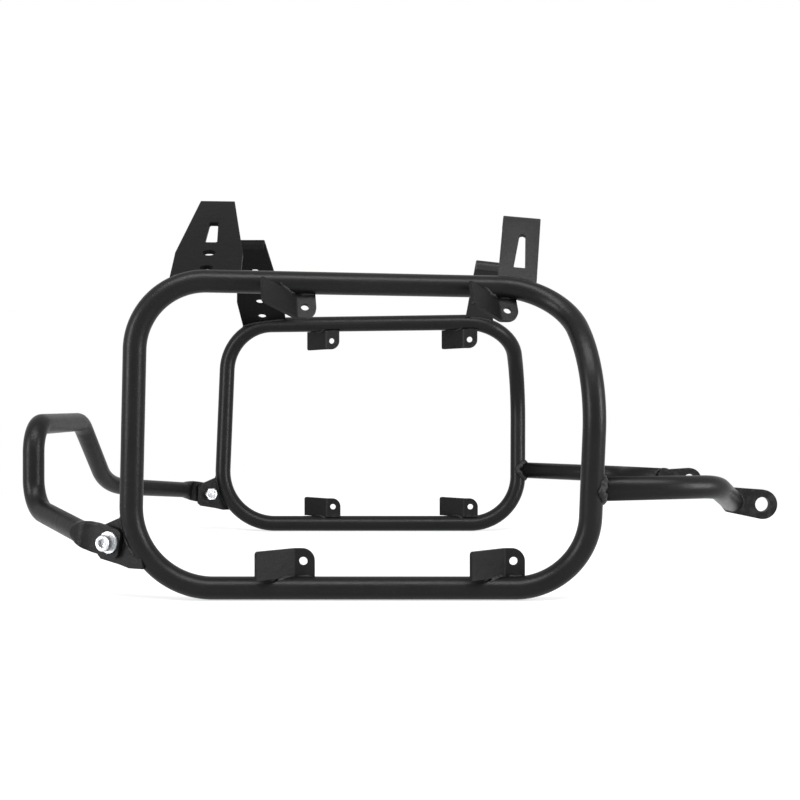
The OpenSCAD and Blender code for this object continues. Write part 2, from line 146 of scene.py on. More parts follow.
TUBE_BLACK = powder_coat("powder_coat_tube", tone=0.0032, gloss=0.29,
                         peel_depth=0.0002, shine=0.12)
PLATE_BLACK = powder_coat("powder_coat_plate", tone=0.0040, gloss=0.35,
                          peel_depth=0.0003, shine=0.10)
# Wide rear plates: the same coat in a darker tone, painted shade.
WIDE_PLATE_PAINTED_SHADE_BLACK = powder_coat("powder_coat_wide_plate_painted_shade", tone=0.0026, gloss=0.42,
                         peel_depth=0.0003, shine=0.035)
# Narrow front plates: the same coat in a lighter tone, painted light.
NARROW_PLATE_PAINTED_LIGHT_BLACK = powder_coat("powder_coat_narrow_plate_painted_light", tone=0.0052, gloss=0.36,
                           peel_depth=0.0003, shine=0.16)
CROSSBAR_BLACK = powder_coat("powder_coat_crossbar", tone=0.0032, gloss=0.31,
                             peel_depth=0.0003, shine=0.12)


# Weld metal under the powder: the coat lies thicker and rougher over the ripples, with pin holes.
def coated_weld(name):
    g = Graph(name)
    place = g.node("ShaderNodeTexCoord", {}, {}, "Object")
    lumps = g.noise(place, 420.0, 4.0)
    pits = g.noise(place, 1100.0, 1.0).step(0.66, 0.74)
    colour = g.mix(lumps.step(0.45, 0.75), grey(0.0035), grey(0.011))
    relief = g.node("ShaderNodeBump", {}, {"Strength": 0.8, "Distance": 0.0005,
                                           "Height": lumps - 0.8 * pits})
    return g.finish(g.node("ShaderNodeBsdfPrincipled", {}, {
        "Base Color": colour, "Roughness": 0.42 + 0.2 * lumps,
        "Specular IOR Level": 0.2, "Normal": relief}))


WELD = coated_weld("coated_weld")


# Bright zinc plate on the bolts, washers and nuts: a soft metal sheen, cloudy and finely grained,
# duller where the plating bath left a bloom.
def zinc_plate(name):
    g = Graph(name)
    place = g.node("ShaderNodeTexCoord", {}, {}, "Object")
    cloud = g.noise(place, 330.0, 3.0)
    bloom = g.noise(place, 120.0, 2.0).step(0.45, 0.65)
    bright = g.mix(cloud, (0.42, 0.43, 0.44, 1.0), (0.62, 0.63, 0.65, 1.0))
    colour = g.mix(0.35 * bloom, bright, (0.30, 0.30, 0.31, 1.0))
    fine = g.noise(place, 2600.0, 2.0)
    relief = g.node("ShaderNodeBump", {}, {"Strength": 0.25, "Distance": 0.0001, "Height": fine})
    return g.finish(g.node("ShaderNodeBsdfPrincipled", {}, {
        "Base Color": colour, "Metallic": 1.0, "Roughness": 0.22 + 0.16 * cloud + 0.12 * bloom,
        "Normal": relief}))


ZINC = zinc_plate("zinc_plate")

for name, node in NODES.items():
    if name.endswith(("bolt", "washer", "nut")):
        finish = ZINC
    elif name.endswith(("loop", "arm_tube")):
        finish = TUBE_BLACK
    elif name == "crossbar":
        finish = CROSSBAR_BLACK
    else:
        finish = PLATE_BLACK
    node.data.materials.clear()
    node.data.materials.append(finish)

# Centre line of the left loop, as in the CAD, from which the tube's skin, the arms, the feet of the
# brackets and most weld beads take their place.
LOOP_R = 9.0
FOOT_REAR = Vector((-216.5, 241.5, 9.0))
FOOT_FRONT = Vector((141.5, 241.5, 9.0))
WAIST = Vector((144.5, 264.0, 176.5))
TOP_FRONT = Vector((127.5, 191.5, 248.5))
TOP_REAR = Vector((-208.5, 254.5, 248.5))
CORNERS = [FOOT_REAR, FOOT_FRONT, WAIST, TOP_FRONT, TOP_REAR]
BENDS = [63.0, 58.0, 92.0, 55.0, 55.0]
TOP_YAW = math.atan2(TOP_FRONT.y - TOP_REAR.y, TOP_FRONT.x - TOP_REAR.x)
BEND_STEP = 2.5
RING_SIDES = 56
NEARLY_Y = Vector((0, 1, 0.001))
TOUCH = 0.02
LEAST_MARCH = 0.01
MARCH_SHARE = 0.9


def bend_points(p, v, q, r):
    """Points and headings round the bend of radius r at corner v, between corners p and q."""
    ahead = (v - p).normalized()
    out = (q - v).normalized()
    angle = ahead.angle(out)
    side = (out - ahead * ahead.dot(out)).normalized()
    start = v - ahead * r * math.tan(angle / 2)
    centre = start + side * r
    n = math.ceil(math.degrees(angle) / BEND_STEP)
    turns = [angle * i / n for i in range(n + 1)]
    return [(centre - side * r * math.cos(b) + ahead * r * math.sin(b),
             ahead * math.cos(b) + side * math.sin(b)) for b in turns]


LINE = [stop for i, corner in enumerate(CORNERS)
        for stop in bend_points(CORNERS[i - 1], corner, CORNERS[(i + 1) % len(CORNERS)], BENDS[i])]
SPANS = [(a[0], b[0]) for a, b in zip(LINE, LINE[1:] + LINE[:1])]


def from_loop(p):
    """Distance of a point from the loop's centre line, and the way straight out from it."""
    best = None
    for a, b in SPANS:
        k = max(0.0, min(1.0, (p - a).dot(b - a) / (b - a).length_squared))
        off = p - (a + (b - a) * k)
        if best is None or off.length < best.length:
            best = off
    return best.length, best.normalized()


def landing(p, ahead, limit):
    """First point on the loop's skin along a line, with the skin's outward direction there.

    None if the line passes the loop by within the limit.
    """
    t = 0.0
    while t < limit:
        distance, out = from_loop(p + ahead * t)
        if distance - LOOP_R < TOUCH:
            return p + ahead * t, out
        t += max(LEAST_MARCH, MARCH_SHARE * (distance - LOOP_R))
    return None


def place_piece(name, mesh, slot, *stands_for):
    made = bpy.data.objects.new(name, mesh)
    bpy.context.collection.objects.link(made)
    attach(made, "root")
    if stands_for:
        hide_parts(*stands_for)
    return made


def finish_mesh(bm, name, material):
    bmesh.ops.recalc_face_normals(bm, faces=bm.faces)
    for face in bm.faces:
        face.smooth = True
    mesh = bpy.data.meshes.new(name)
    bm.to_mesh(mesh)
    bm.free()
    mesh.materials.append(material)
    return mesh


def skin_mesh(name, rings, closed, material, side):
    """Skin over rings of points in millimetres, mirrored across the machine for the right side."""
    flip = Vector((MM, -MM if side == "right" else MM, MM))
    bm = bmesh.new()
    rows = [[bm.verts.new(p * flip) for p in ring] for ring in rings]
    count = len(rows)
    for i in range(count if closed else count - 1):
        a, b = rows[i], rows[(i + 1) % count]
        for k in range(len(a)):
            m = (k + 1) % len(a)
            bm.faces.new((a[k], a[m], b[m], b[k]))
    if not closed:
        bm.faces.new(rows[0][::-1])
        bm.faces.new(rows[-1])
    return finish_mesh(bm, name, material)


def tube_ring(point, heading, half_w, half_t, flat=NEARLY_Y):
    """Ring across a heading: round, or cut off at half_t along the direction flat."""
    thin = (flat - heading * flat.dot(heading)).normalized()
    across = heading.cross(thin)
    ring = []
    for k in range(RING_SIDES):
        a = 2 * math.pi * k / RING_SIDES
        rise = max(-half_t, min(half_t, half_w * math.sin(a)))
        ring.append(point + across * (half_w * math.cos(a)) + thin * rise)
    return ring


# Side loops: steel tube bent to the CAD's centre line and drawn here with a finer skin.
for side in ("right", "left"):
    rings = [tube_ring(point, heading, LOOP_R, LOOP_R) for point, heading in LINE]
    mesh = skin_mesh(side + "_loop_tube", rings, True, TUBE_BLACK, side)
    place_piece(side + "_loop_tube", mesh, "powder_coat", side + "_loop")

# Weld beads: each is a rippled ridge of weld metal along the seam between two welded pieces. A bead
# is a lumpy sweep, wider than high, whose middle lies on or close to the seam.
BEAD_SIDES = 10
BEAD_STEP = 0.55
BEAD_HEIGHT = 0.78
RIPPLE_L = 2.3


def bead_mesh(name, stops, width, closed):
    """Stops are (point, outward, aside): the bead's middle, up off the seam, and across it."""
    seed = sum(ord(c) for c in name)
    bm = bmesh.new()
    rings = []
    fine = []
    total = 0.0
    n = len(stops)
    last = n if closed else n - 1
    for i in range(last):
        a, b = stops[i], stops[(i + 1) % n]
        gap = (b[0] - a[0]).length
        cuts = max(1, round(gap / BEAD_STEP))
        for c in range(cuts):
            k = c / cuts
            fine.append((a[0].lerp(b[0], k), a[1].lerp(b[1], k), a[2].lerp(b[2], k), total + gap * k))
        total += gap
    if not closed:
        fine.append((*stops[-1], total))
    for point, up, aside, s in fine:
        ripple = 0.9 + 0.1 * abs(math.sin(math.pi * s / RIPPLE_L + seed))
        wander = 1 + 0.07 * math.sin(s * 0.61 + seed) + 0.05 * math.sin(s * 1.37 + 2.0 * seed)
        end = 1.0 if closed else min(1.0, math.sqrt(max(0.02, min(s, total - s) / width)))
        r = width / 2 * ripple * wander * end
        shift = 0.07 * width * math.sin(s * 0.83 + 3.0 * seed)
        up, aside = up.normalized(), aside.normalized()
        ring = []
        for k in range(BEAD_SIDES):
            angle = 2 * math.pi * k / BEAD_SIDES
            at = point + aside * (shift + r * math.cos(angle)) + up * (BEAD_HEIGHT * r * math.sin(angle))
            ring.append(bm.verts.new(at * MM))
        rings.append(ring)
    count = len(rings)
    for i in range(count if closed else count - 1):
        a, b = rings[i], rings[(i + 1) % count]
        for k in range(BEAD_SIDES):
            m = (k + 1) % BEAD_SIDES
            bm.faces.new((a[k], a[m], b[m], b[k]))
    if not closed:
        bm.faces.new(rings[0][::-1])
        bm.faces.new(rings[-1])
    return finish_mesh(bm, name, WELD)


def mirror_stops(stops):
    flip = Vector((1, -1, 1))
    return [tuple(v * flip for v in stop) for stop in stops]


def weld(name, side, stops, width, closed=False):
    """A bead from left-side stops, mirrored across the machine for the right side."""
    if len(stops) < 2:
        return
    placed = mirror_stops(stops) if side == "right" else stops
    full = f"{side}_weld_{name}"
    place_piece(full, bead_mesh(full, placed, width, closed), "powder_coat")


def rotated(v, axis, degrees):
    return Quaternion(axis, math.radians(degrees)) @ Vector(v)


# Front arms: bent tube with a thick collar of weld all round the root, where each is coped onto the
# upright, and a low bead round the slanting end, where it meets the eye plate.
ARM_R = 9.5
ARM_BEND_R = 40.0
ARM_ROOTS = {"right": 87.0, "left": 73.0}
EYES = {"right": 64.0, "left": 69.5}
EYE_X = 316.5
EYE_TO_END = 27
LUG_FACE_Y = 125.0
LUG_OVERLAP = 0.15
ARM_START = 14
ARM_PAST_LUG = 16
ARM_RAY_FROM = 60
ARM_RAY_L = 70
COLLAR_R = 8.5
COLLAR_PUSH = 0.8
SADDLE_R = 8.7
COLLAR_STOPS = 40
LUG_STOPS = 36


def arm_axis(side):
    root_h = ARM_ROOTS[side]
    root = FOOT_FRONT.lerp(WAIST, (root_h - LOOP_R) / (WAIST.z - LOOP_R))
    bend = Vector((255.0, 198.0, root_h - 2))
    end = Vector((EYE_X - EYE_TO_END, LUG_FACE_Y, EYES[side] + 3))
    return root, bend, end


for side in ("right", "left"):
    root, bend, end = arm_axis(side)
    ahead = (bend - root).normalized()
    across = ahead.cross(Vector((0, 0, 1))).normalized()
    up = across.cross(ahead)
    collar = []
    for i in range(COLLAR_STOPS):
        angle = 2 * math.pi * i / COLLAR_STOPS
        out = across * math.cos(angle) + up * math.sin(angle)
        point, skin = landing(root + ahead * ARM_RAY_FROM + out * COLLAR_R, -ahead, ARM_RAY_L)
        collar.append((point + out * COLLAR_PUSH, (out + skin).normalized(), (out - skin).normalized()))
    weld("arm_root", side, collar, width=7.4, closed=True)

    # The arm itself: bent tube, its root cut to the saddle of the upright, its end flat on the lug.
    past = end + (end - bend).normalized() * ARM_PAST_LUG
    line = [(root + ahead * ARM_START, ahead)] + bend_points(root, bend, past, ARM_BEND_R)
    line.append((past, (end - bend).normalized()))
    rings = [tube_ring(point, heading, ARM_R, ARM_R) for point, heading in line]
    saddle = []
    for p in rings[0]:
        out = (p - line[0][0]).normalized()
        hit, _ = landing(root + ahead * ARM_RAY_FROM + out * SADDLE_R, -ahead, ARM_RAY_L)
        saddle.append(hit + out * (ARM_R - SADDLE_R))
    last = line[-1][1]
    rings[0] = saddle
    rings[-1] = [p + last * ((LUG_FACE_Y + LUG_OVERLAP - p.y) / last.y) for p in rings[-1]]
    mesh = skin_mesh(side + "_arm", rings, False, TUBE_BLACK, side)
    place_piece(side + "_arm", mesh, "powder_coat", side + "_arm_tube")

    # Lug joint: the low bead round the arm's slanting end.
    ahead = (end - bend).normalized()
    across = ahead.cross(Vector((0, 0, 1))).normalized()
    up = across.cross(ahead)
    rim = []
    for i in range(LUG_STOPS):
        angle = 2 * math.pi * i / LUG_STOPS
        out = across * math.cos(angle) + up * math.sin(angle)
        foot = end + out * (ARM_R - 0.4)
        point = foot + ahead * ((LUG_FACE_Y - foot.y) / ahead.y)
        rim.append((point, Vector((out.x, 0.6, out.z)).normalized(), ahead))
    weld("arm_lug", side, rim, width=2.6, closed=True)

# Case tabs: folded strips with one hole, whose leaf stands along the tube and whose wing crosses it.
# Each has a bead at the foot of the leaf and one on either face of the wing.
TAB_T = 3.0
TAB_IN = 5.0
PITCH = 165.0
TAB_FRONT_X = 84.0
TAB_EDGE = 9.0
TAB_LEAF = 16.0
WING_RUN = 28.0
WING_OUT = 18.0
TAB_HOLE_R = 3.3
TAB_HOLE_H = 20.5
TAB_CORNER_R = 10
WING_CORNER_R = 2.5
TAB_FOOT_STEPS = 24
TAB_SEAM_STEPS = 14
TAB_SEAM_EDGE = 1.8
FOLD_REACH = 60


def tab_frame(centre, turn, tilt, flip):
    """Frame of a tab: local x along the tube, z away from it, or towards it where flip is -1."""
    def place(v):
        w = rotated((v[0], v[1], flip * v[2]), (1, 0, 0), tilt)
        return centre + rotated(w, (0, 0, 1), turn)
    return place


TAB_FOLD_R = 5.0
TAB_H = 30.5
TAB_FOOT = 8.2
TAB_TURN = math.atan2(TAB_IN + WING_OUT, WING_RUN)
LEAF_L = TAB_LEAF - TAB_FOLD_R * math.tan(TAB_TURN / 2)
FOLD_L = TAB_FOLD_R * TAB_TURN
TAB_L = LEAF_L + FOLD_L + math.hypot(WING_RUN, TAB_IN + WING_OUT) - TAB_FOLD_R * math.tan(TAB_TURN / 2)


def tab_plan(s):
    """Plan point and outward normal of the folded strip at a length s from the leaf's edge."""
    if s <= LEAF_L:
        return TAB_EDGE - s, -TAB_IN, 0.0, -1.0
    a = min((s - LEAF_L) / TAB_FOLD_R, TAB_TURN)
    x = TAB_EDGE - LEAF_L - TAB_FOLD_R * math.sin(a)
    y = -TAB_IN + TAB_FOLD_R * (1 - math.cos(a))
    rest = max(0.0, s - LEAF_L - FOLD_L)
    return x - rest * math.cos(a), y + rest * math.sin(a), -math.sin(a), -math.cos(a)


def inside(p, loop):
    """Whether a point lies inside a closed outline."""
    odd = False
    for i, a in enumerate(loop):
        b = loop[i - 1]
        if (a[1] > p[1]) != (b[1] > p[1]):
            if p[0] < (b[0] - a[0]) * (p[1] - a[1]) / (b[1] - a[1]) + a[0]:
                odd = not odd
    return odd


def arc(cx, cy, r, start, end, steps):
    turns = [math.radians(start + (end - start) * i / steps) for i in range(steps + 1)]
    return [(cx + r * math.cos(a), cy + r * math.sin(a)) for a in turns]


def round_hole(cx, cy, r, sides):
    return arc(cx, cy, r, 0, 360 - 360 / sides, sides - 1)


def sheet_mesh(name, side, outline, holes, folds, plan, thick, place, material):
    """A flat blank with its holes, folded along its length and given its thickness.

    Outline and holes are in (length, width). Plan turns a length into the fold's plane, with the
    sheet's normal there, and place turns plane and width into the rack's frame.
    """
    points, edges = [], []
    for loop in (outline, *holes):
        start = len(points)
        points += [Vector(p) for p in loop]
        edges += [(start + i, start + (i + 1) % len(loop)) for i in range(len(loop))]
    for s in folds:
        points += [Vector((s, -FOLD_REACH)), Vector((s, FOLD_REACH))]
        edges.append((len(points) - 2, len(points) - 1))
    flat, _, tris, *_ = delaunay_2d_cdt(points, edges, [], 0, 1e-6)
    kept = []
    for tri in tris:
        centre = sum((flat[v] for v in tri), Vector((0, 0))) / 3
        if inside(centre, outline) and not any(inside(centre, hole) for hole in holes):
            kept.append(tri)
    flip = Vector((MM, -MM if side == "right" else MM, MM))
    bm = bmesh.new()
    layers = {}
    for v in {v for tri in kept for v in tri}:
        x, y, nx, ny = plan(flat[v].x)
        layers[v] = [bm.verts.new(place((x + nx * off, y + ny * off, flat[v].y)) * flip)
                     for off in (thick / 2, -thick / 2)]
    used = {}
    for tri in kept:
        bm.faces.new([layers[v][0] for v in tri])
        bm.faces.new([layers[v][1] for v in reversed(tri)])
        for a, b in zip(tri, (*tri[1:], tri[0])):
            key = (min(a, b), max(a, b))
            used[key] = None if key in used else (a, b)
    for pair in used.values():
        if pair:
            a, b = pair
            bm.faces.new((layers[b][0], layers[a][0], layers[a][1], layers[b][1]))
    return finish_mesh(bm, name, material)


def tab_mesh(name, side, place):
    """The foot follows the tube's crown where that is higher than TAB_FOOT over the tube's axis."""
    foot = []
    for i in range(TAB_FOOT_STEPS + 1):
        s = TAB_L * (1 - i / TAB_FOOT_STEPS)
        y = tab_plan(s)[1]
        crown = math.sqrt(max(0.0, LOOP_R ** 2 - y * y)) + 0.1
        foot.append((s, max(TAB_FOOT, crown)))
    outline = arc(TAB_CORNER_R, TAB_H - TAB_CORNER_R, TAB_CORNER_R, 180, 90, 10)
    outline += arc(TAB_L - WING_CORNER_R, TAB_H - WING_CORNER_R, WING_CORNER_R, 90, 0, 5) + foot
    hole = round_hole(TAB_EDGE, TAB_HOLE_H, TAB_HOLE_R, 28)
    folds = [LEAF_L + FOLD_L * i / 8 for i in range(9)]
    return sheet_mesh(name, side, outline, [hole], folds, tab_plan, TAB_T, place, PLATE_BLACK)


EDGE_ANGLE = math.radians(38)


def soften(piece, width):
    """Rounds a plate's edges as the coat does."""
    rounded = piece.modifiers.new("edge_round", "BEVEL")
    rounded.width = width * MM
    rounded.segments = 3
    rounded.limit_method = "ANGLE"
    rounded.angle_limit = EDGE_ANGLE
    rounded.harden_normals = True
    piece.data.set_sharp_from_angle(angle=EDGE_ANGLE)


def tab_beads(name, side, place):
    def seam(a, b, off):
        """Stops along one face of the sheet from a to b, in the tab's plan."""
        along = Vector((b[0] - a[0], b[1] - a[1]))
        normal = Vector((-along.y, along.x)).normalized() * off
        stops = []
        for i in range(TAB_SEAM_STEPS + 1):
            k = i / TAB_SEAM_STEPS
            x = a[0] + along.x * k + normal.x
            y = a[1] + along.y * k + normal.y
            if abs(y) > LOOP_R - TAB_SEAM_EDGE:
                continue
            z = math.sqrt(LOOP_R ** 2 - y ** 2)
            point = place((x, y, z))
            up = (place((x + normal.x, y + normal.y, z + abs(off))) - point).normalized()
            aside = (place((x + normal.x, y + normal.y, z - abs(off))) - point).normalized()
            stops.append((point, up, aside))
        return stops
    weld(name + "_leaf", side, seam((-5.0, -TAB_IN), (8.0, -TAB_IN), TAB_T / 2), 3.6)
    weld(name + "_wing", side, seam((-7.5, -TAB_IN + 0.4), (-24.0, 8.8), -TAB_T / 2), 3.8)
    weld(name + "_back", side, seam((-8.0, -TAB_IN), (-24.0, 8.8), TAB_T / 2), 3.4)


def top_point(x):
    return TOP_REAR.lerp(TOP_FRONT, (x - TOP_REAR.x) / (TOP_FRONT.x - TOP_REAR.x))


def build_tab(name, side, place):
    full = f"{side}_{name}"
    mesh = tab_mesh(full + "_sheet", side, place)
    soften(place_piece(full + "_sheet", mesh, "powder_coat", full), width=0.5)
    tab_beads(name, side, place)


yaw_deg = math.degrees(TOP_YAW)
rear_x = TAB_FRONT_X - PITCH
top_front_x = rear_x + PITCH * math.cos(TOP_YAW)
for side, tilt in (("right", 30.0), ("left", 0.0)):
    for end, x in (("rear", rear_x), ("front", TAB_FRONT_X)):
        build_tab("tab_lower_" + end, side, tab_frame(Vector((x, FOOT_REAR.y, LOOP_R)), 0, 0, 1))
    for end, x in (("rear", rear_x), ("front", top_front_x)):
        build_tab("tab_upper_" + end, side, tab_frame(top_point(x), yaw_deg, tilt, -1))

# Top brackets: leaning plates with a return lip, cut with a slot and on the rear ones two holes,
# and welded to the top tube by a bead along each face of the foot.
LEAN = {"rear": 57.0, "front": 35.0}
LENGTH = {"rear": 153.0, "front": 79.0}
EDGES = {"rear": (-27.25, 27.25), "front": (-17.6, 14.4)}
HOLE_R = 5
HOLE_HEIGHTS = (45, 17)
TIP_HALF = 14.75
TAPER_FROM = 45
BRACKET_T = 4.0
LIP_R = 4
LIP_L = 5
LIP_STEPS = 10
PLATE_SHIFT = {"rear": 1.0, "front": 0.0}
BEAD_OFF = {"rear": (("outer", 3.0), ("inner", -2.0)), "front": (("outer", 2.0), ("inner", -2.0))}
BEAD_HALF = {"rear": 27.0, "front": 15.0}
BEAD_MARGIN = 1.2
FOOT_STEPS = 24
FOOT_RAY_FROM = 34
FOOT_RAY_L = 60
REAR_X = {"right": -157.0, "left": -165.5}
REAR_TURN = {"right": -4.0, "left": 0.0}
FRONT_X = 92.5
FRONT_ROLL = 7.0


def bracket_plan(s, kind):
    """Place and outward normal across the fold at a length s up from the tube's axis."""
    hook = math.radians(180 - LEAN[kind])
    top = LENGTH[kind] - LIP_R
    if s <= top:
        return 0.0, s, 1.0, 0.0
    a = min((s - top) / LIP_R, hook)
    rest = s - top - LIP_R * a
    return (LIP_R * math.cos(a) - LIP_R - rest * math.sin(a),
            top + LIP_R * math.sin(a) + rest * math.cos(a), math.cos(a), math.sin(a))


def bracket_sides(kind):
    end = LENGTH[kind] - LIP_R + LIP_R * math.radians(180 - LEAN[kind]) + LIP_L
    low, high = EDGES[kind]
    if kind == "rear":
        tip = LENGTH[kind]
        return [(TAPER_FROM, high), (tip, TIP_HALF), (end, TIP_HALF),
                (end, -TIP_HALF), (tip, -TIP_HALF), (TAPER_FROM, low)]
    return [(end, high), (end, low)]


def bracket_holes(kind):
    """Outlines in (length, width); the slots narrow towards the top."""
    if kind == "rear":
        slot = [(65, -3.8), (65, 3.8), (66.2, 5), (103.8, 3.5), (105, 2.3), (105, -2.3), (103.8, -3.5),
                (66.2, -5)]
        return [slot] + [round_hole(height, 0, HOLE_R, 30) for height in HOLE_HEIGHTS]
    return [[(20, -5.2), (20, 3.4), (20.8, 4.2)] + arc(55.5, 0, 2.6, 90, -90, 12) + [(20.8, -5.4)]]


def build_bracket(side, kind, x, turn, roll):
    middle = top_point(x)
    shift = PLATE_SHIFT[kind]

    def leaned(v):
        w = rotated(rotated(v, (0, 1, 0), roll), (1, 0, 0), LEAN[kind])
        return rotated(w, (0, 0, 1), turn)

    def skin_below(width, off):
        """Start of the line down the plate at a width, and where it lands.

        It misses at the rear corner of the left rear bracket, over the tube's bend: the foot has no
        point there, and the outer bead ends about 4 mm short.
        """
        begin = middle + leaned((width, off, FOOT_RAY_FROM))
        return begin, landing(begin, leaned((0, 0, -1)), FOOT_RAY_L)

    full = f"{side}_{kind}_bracket"
    low, high = EDGES[kind]
    foot = []
    for i in range(FOOT_STEPS + 1):
        w = low + (high - low) * i / FOOT_STEPS
        begin, hit = skin_below(w, shift)
        if hit:
            foot.append((FOOT_RAY_FROM - (begin - hit[0]).length + 0.1, w))
    hook = math.radians(180 - LEAN[kind])
    folds = [LENGTH[kind] - LIP_R + LIP_R * hook * i / LIP_STEPS for i in range(LIP_STEPS + 1)]
    # The rear plates take the darker coat, painted shade; the front plates take the lighter one, painted
    # light.
    sheet = sheet_mesh(full + "_sheet", side, foot + bracket_sides(kind), bracket_holes(kind), folds,
                       lambda s: bracket_plan(s, kind), BRACKET_T,
                       lambda p: middle + leaned((p[2], p[0] + shift, p[1])),
                       WIDE_PLATE_PAINTED_SHADE_BLACK if kind == "rear" else NARROW_PLATE_PAINTED_LIGHT_BLACK)
    soften(place_piece(full + "_sheet", sheet, "powder_coat", full), width=0.6)

    half = BEAD_HALF[kind]
    for face, off in BEAD_OFF[kind]:
        outward = leaned((0, 1 if face == "outer" else -1, 0))
        stops = []
        for i in range(FOOT_STEPS + 1):
            width = -half + BEAD_MARGIN + (2 * half - 2 * BEAD_MARGIN) * i / FOOT_STEPS
            _, hit = skin_below(width, off)
            if hit:
                point, skin = hit
                stops.append((point, (outward + skin).normalized(), (outward - skin).normalized()))
        weld(f"{kind}_bracket_{face}", side, stops, width=3.0)


for side in ("right", "left"):
    build_bracket(side, "rear", REAR_X[side], REAR_TURN[side], 0.0)
    build_bracket(side, "front", FRONT_X, 0.0, FRONT_ROLL)

# Gussets: a bead down each face where the plate is coped into the rear foot bend.
JOINT_YAW = 25.0
BOLT_H = 45.0
BOLT_BEHIND = 19.5
GUSSET_T = 4.0
GUSSET_LOW = -18.5
GUSSET_SPAN = 40.0
GUSSET_STEPS = 20
FOOT_BEND = BENDS[0]
bend_x = FOOT_REAR.x + FOOT_BEND
bend_z = FOOT_REAR.z + FOOT_BEND
BOLT = Vector((bend_x - math.sqrt(FOOT_BEND ** 2 - (bend_z - BOLT_H) ** 2) - BOLT_BEHIND, 240.0, BOLT_H))


def at_joint(v):
    return BOLT + rotated(v, (0, 0, 1), JOINT_YAW)


for side in ("right", "left"):
    for face, off in (("outer", 0.0), ("inner", -GUSSET_T)):
        ahead = rotated((1, 0, 0), (0, 0, 1), JOINT_YAW)
        outward = rotated((0, 1 if face == "outer" else -1, 0), (0, 0, 1), JOINT_YAW)
        stops = []
        for i in range(GUSSET_STEPS + 1):
            z = GUSSET_LOW + GUSSET_SPAN * i / GUSSET_STEPS
            hit = landing(at_joint((-4.0, off, z)), ahead, 50)
            if hit:
                point, skin = hit
                stops.append((point, (outward + skin).normalized(), (outward - skin).normalized()))
        weld("gusset_" + face, side, stops, width=3.2)

# Crossbar: one tube bent behind the tail, each end squeezed flat in its gusset's plane. The skin
# follows the CAD's stations, with more of them where the round section turns into the pad. Unlike
# the CAD's, its pads have no bolt holes: the screws pass through them under washer and gusset.
PAD_T = 4.5
PAD_W = 24.0
PAD_FRONT = 9.5
PAD_L = PAD_FRONT + 20.0
BAR_R = 9.0
SQUEEZE_L = 14.0
CRANK_BACK = 26
BLUNT_L = 6
TIP_SHARE = 0.62
BAR_BACK_X = -320.5
BAR_TOP_Z = 135
BAR_LOW_Z = 64
BAR_RIGHT_Y = -148.5
dip = math.radians(11)
turn = math.radians(JOINT_YAW)
pad_dir = Vector((math.cos(turn) * math.cos(dip), math.sin(turn) * math.cos(dip), -math.sin(dip)))
pad_normal = Vector((-math.sin(turn), math.cos(turn), 0))
tip = BOLT + pad_dir * PAD_FRONT + pad_normal * PAD_T / 2
crank = BOLT - pad_dir * CRANK_BACK + pad_normal * PAD_T / 2


def other_side(v):
    return Vector((v.x, -v.y, v.z))


BAR = [other_side(tip), other_side(crank), Vector((BAR_BACK_X, BAR_RIGHT_Y, BAR_LOW_Z)),
       Vector((BAR_BACK_X, BAR_RIGHT_Y, BAR_TOP_Z)), Vector((BAR_BACK_X, 2, BAR_TOP_Z)),
       Vector((BAR_BACK_X, 105, BAR_LOW_Z)), crank, tip]
BAR_BENDS = [12, 28, 24, 45, 90, 12]


def straight(a, b, distances):
    heading = (b - a).normalized()
    return [(a + heading * d, heading) for d in distances]


def back_up(stops):
    return [(point, -heading) for point, heading in reversed(stops)]


bends = [bend_points(BAR[i], BAR[i + 1], BAR[i + 2], r) for i, r in enumerate(BAR_BENDS)]
# Distances from each tip along the pad, and from each crank along its leg, where the skin has a ring.
ends = [0.0, 0.4, 1.0, 1.8, 2.8, 4.0, 5.0, 6.0, 14.0, PAD_L - 9, PAD_L - 7, PAD_L - 5]
legs = [8.0, 9.5, 11.0, 12.5, 14.0, 15.5, 17.0, 18.5, 20.0]
stations = straight(BAR[0], BAR[1], ends) + bends[0] + straight(BAR[1], BAR[2], legs)
for bend in bends[1:5]:
    stations += bend
stations += back_up(straight(BAR[6], BAR[5], legs)) + bends[5] + back_up(straight(BAR[7], BAR[6], ends))


def bar_ring(point, heading):
    """Round along the bar, squeezed to the pad near either tip and blunted at the very end."""
    s = min((point - BAR[0]).length, (point - BAR[7]).length)
    k = max(0.0, min(1.0, (s - PAD_L) / SQUEEZE_L))
    blunt = TIP_SHARE + (1 - TIP_SHARE) * math.sqrt(1 - (1 - min(1.0, s / BLUNT_L)) ** 2)
    half_w = (PAD_W / 2 + (BAR_R - PAD_W / 2) * k) * blunt
    half_t = PAD_T / 2 + (BAR_R - PAD_T / 2) * k ** 0.8
    swing = max(-1.0, min(1.0, point.y / (abs(crank.y) - 6)))
    return tube_ring(point, heading, half_w, half_t,
                     Vector((-math.sin(turn), swing * math.cos(turn), 0)))


mesh = skin_mesh("crossbar_tube", [bar_ring(*stop) for stop in stations], False, CROSSBAR_BLACK, "left")
mesh.set_sharp_from_angle(angle=math.radians(50))
place_piece("crossbar_tube", mesh, "powder_coat", "crossbar")

# Joint bolts: socket head cap screws, knurled round the head, with a hexagon socket and a rolled
# thread that shows past the nut.
HEAD_R = 6.5
WASHER_T = 1.6
NUT_H = 6.5
SHANK_PAST_NUT = 2
SEAT = PAD_T + WASHER_T
SHANK = SEAT + GUSSET_T + NUT_H + SHANK_PAST_NUT
THREAD_PITCH = 1.25
SCREW_SIDES = 120


def bolt_radius(kind, r, h, a):
    """Radius at a height h and an angle a, by the kind of surface."""
    if kind == "thread":
        phase = (h / THREAD_PITCH + a / (2 * math.pi)) % 1.0
        return r - 0.62 * abs(2 * phase - 1)
    if kind == "knurl":
        return r - 0.16 * (math.sin(30 * a) > 0)
    if kind == "hexagon":
        return r / math.cos((a + math.pi / 6) % (math.pi / 3) - math.pi / 6)
    return r


